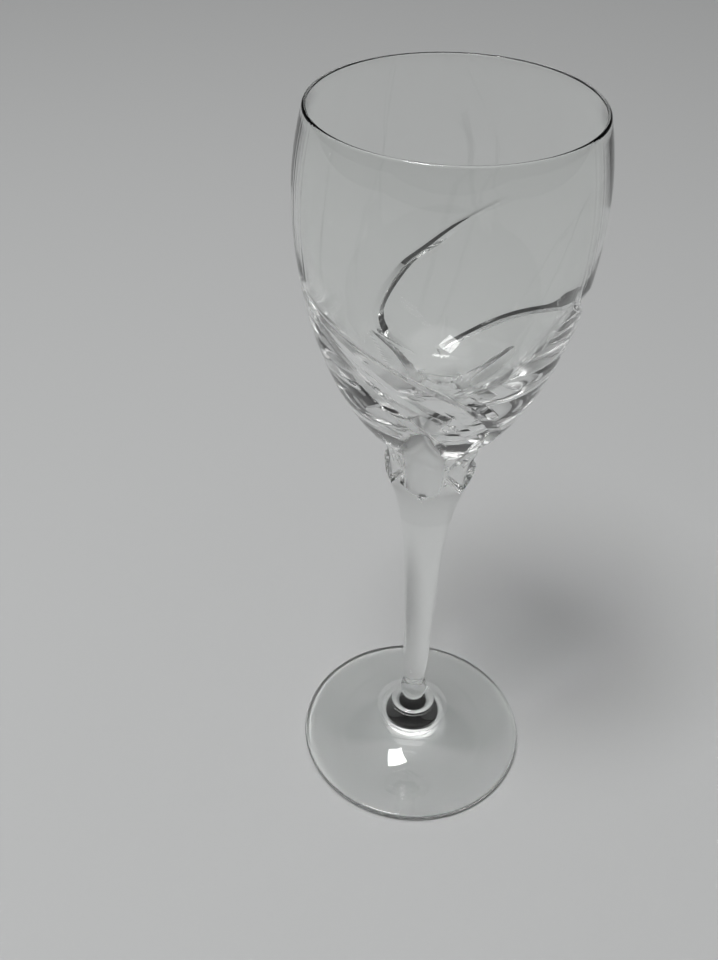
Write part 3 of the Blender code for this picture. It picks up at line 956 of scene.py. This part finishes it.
# Matt paint scatters light evenly and hardly shines.
FLOOR_PAINT = {"Base Color": linear("B9BABA"), "Roughness": 0.95, "Specular IOR Level": 0.1}

bpy.ops.mesh.primitive_plane_add(size=FLOOR_SIZE, location=(0, 0, -FLOOR_DROP))
floor = bpy.context.object
floor.name = "floor"
pale = bpy.data.materials.new("pale_matt_floor")
pale.use_nodes = True
for socket, value in FLOOR_PAINT.items():
    pale.node_tree.nodes["Principled BSDF"].inputs[socket].default_value = value
floor.data.materials.append(pale)
print("floor in m:", FLOOR_SIZE)

# %% Lamp
LAMP_PLACE = Vector((-0.270, -0.300, 1.244))
LAMP_SIZE = 0.36
LAMP_WATTS = 9.3

light = bpy.data.lights.new("window_lamp", "AREA")
light.shape = "RECTANGLE"
light.size = LAMP_SIZE
light.size_y = LAMP_SIZE
light.energy = LAMP_WATTS
lamp = bpy.data.objects.new("window_lamp", light)
lamp.location = LAMP_PLACE
lamp.rotation_euler = (-LAMP_PLACE).to_track_quat("-Z", "Y").to_euler()
bpy.context.scene.collection.objects.link(lamp)
print("lamp in watts:", LAMP_WATTS)

# %% [markdown]
# ## The room
# The world is the room, and its brightness depends on where a ray goes. The ray's direction has
# three parts, each from -1 to 1. Upwards lies the ceiling, at the sides and behind are the walls,
# and a little light stands low behind the glass. Each of them fades in over a short span, so that
# no hard edge shows in the glass.

# %% Room
FRONT_WALL = 0.03
BACK_WALL = 0.01
BACK_SPAN = (-0.10, 0.25)
LOW_LIGHT = 0.03
LOW_SPAN = (0.40, 0.30)
CEILING_LIGHT = 1.5
CEILING_SPAN = (0.76, 0.84)
CARD_DIRECTION = (0.0, -0.82, 0.57)
CARD_SHADE = 0.15
CARD_SPAN = (0.80, 0.92)

world = bpy.data.worlds.new("room")
bpy.context.scene.world = world
world.use_nodes = True
sky = world.node_tree
sky.nodes.clear()
looking = add_node(sky, "ShaderNodeTexCoord").outputs["Generated"]
_, along, upwards = add_node(sky, "ShaderNodeSeparateXYZ", [looking]).outputs
behind = add_node(sky, "ShaderNodeMapRange", [along, *BACK_SPAN, 0.0, 1.0])
walls = add_node(sky, "ShaderNodeMapRange", [behind, 0.0, 1.0, FRONT_WALL, BACK_WALL])
low = add_node(sky, "ShaderNodeMapRange", [upwards, *LOW_SPAN, 0.0, LOW_LIGHT])
low_behind = add_node(sky, "ShaderNodeMath", [low, behind], operation="MULTIPLY")
ceiling = add_node(sky, "ShaderNodeMapRange", [upwards, *CEILING_SPAN, 0.0, CEILING_LIGHT])
towards = add_node(
    sky,
    "ShaderNodeVectorMath",
    [looking, CARD_DIRECTION],
    operation="DOT_PRODUCT",
).outputs["Value"]
card = add_node(sky, "ShaderNodeMapRange", [towards, *CARD_SPAN, 1.0, CARD_SHADE])
shaded = add_node(sky, "ShaderNodeMath", [walls, card], operation="MULTIPLY")
dim = add_node(sky, "ShaderNodeMath", [shaded, low_behind], operation="ADD")
strength = add_node(sky, "ShaderNodeMath", [dim, ceiling], operation="ADD")
room = add_node(sky, "ShaderNodeBackground", {"Strength": strength})
add_node(sky, "ShaderNodeOutputWorld", {"Surface": room})
print("nodes of the room:", len(sky.nodes))

# %% [markdown]
# ## Enough bounces
# A ray that crosses a wine glass meets a dozen surfaces, and more where the cuts send it to and
# fro. With too few bounces it stops inside the glass and leaves a black spot, so the limits are
# raised.

# %% Settings of the scene
BOUNCES = 32
GLOSSY_BOUNCES = 16
BLUR = 0.2

scene = bpy.context.scene
scene.view_settings.view_transform = "Standard"
scene.cycles.max_bounces = BOUNCES
scene.cycles.transmission_bounces = BOUNCES
scene.cycles.glossy_bounces = GLOSSY_BOUNCES
scene.cycles.transparent_max_bounces = BOUNCES
scene.cycles.blur_glossy = BLUR
print("bounces:", scene.cycles.max_bounces)

# %% [markdown]
# ## Joining the CAD model
# The glass is one rigid body, so all five pieces ride on its root. Each replaces the CAD body of
# the same name, which is hidden.

# %% Riding
for piece, node, slot in (
    (bowl, "bowl", "cut_crystal"),
    (knop, "knop", "cut_crystal"),
    (stem, "stem", "drawn_crystal"),
    (button, "button", "pressed_crystal"),
    (foot, "foot", "pressed_crystal"),
):
    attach(piece, "root")
    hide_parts(node)
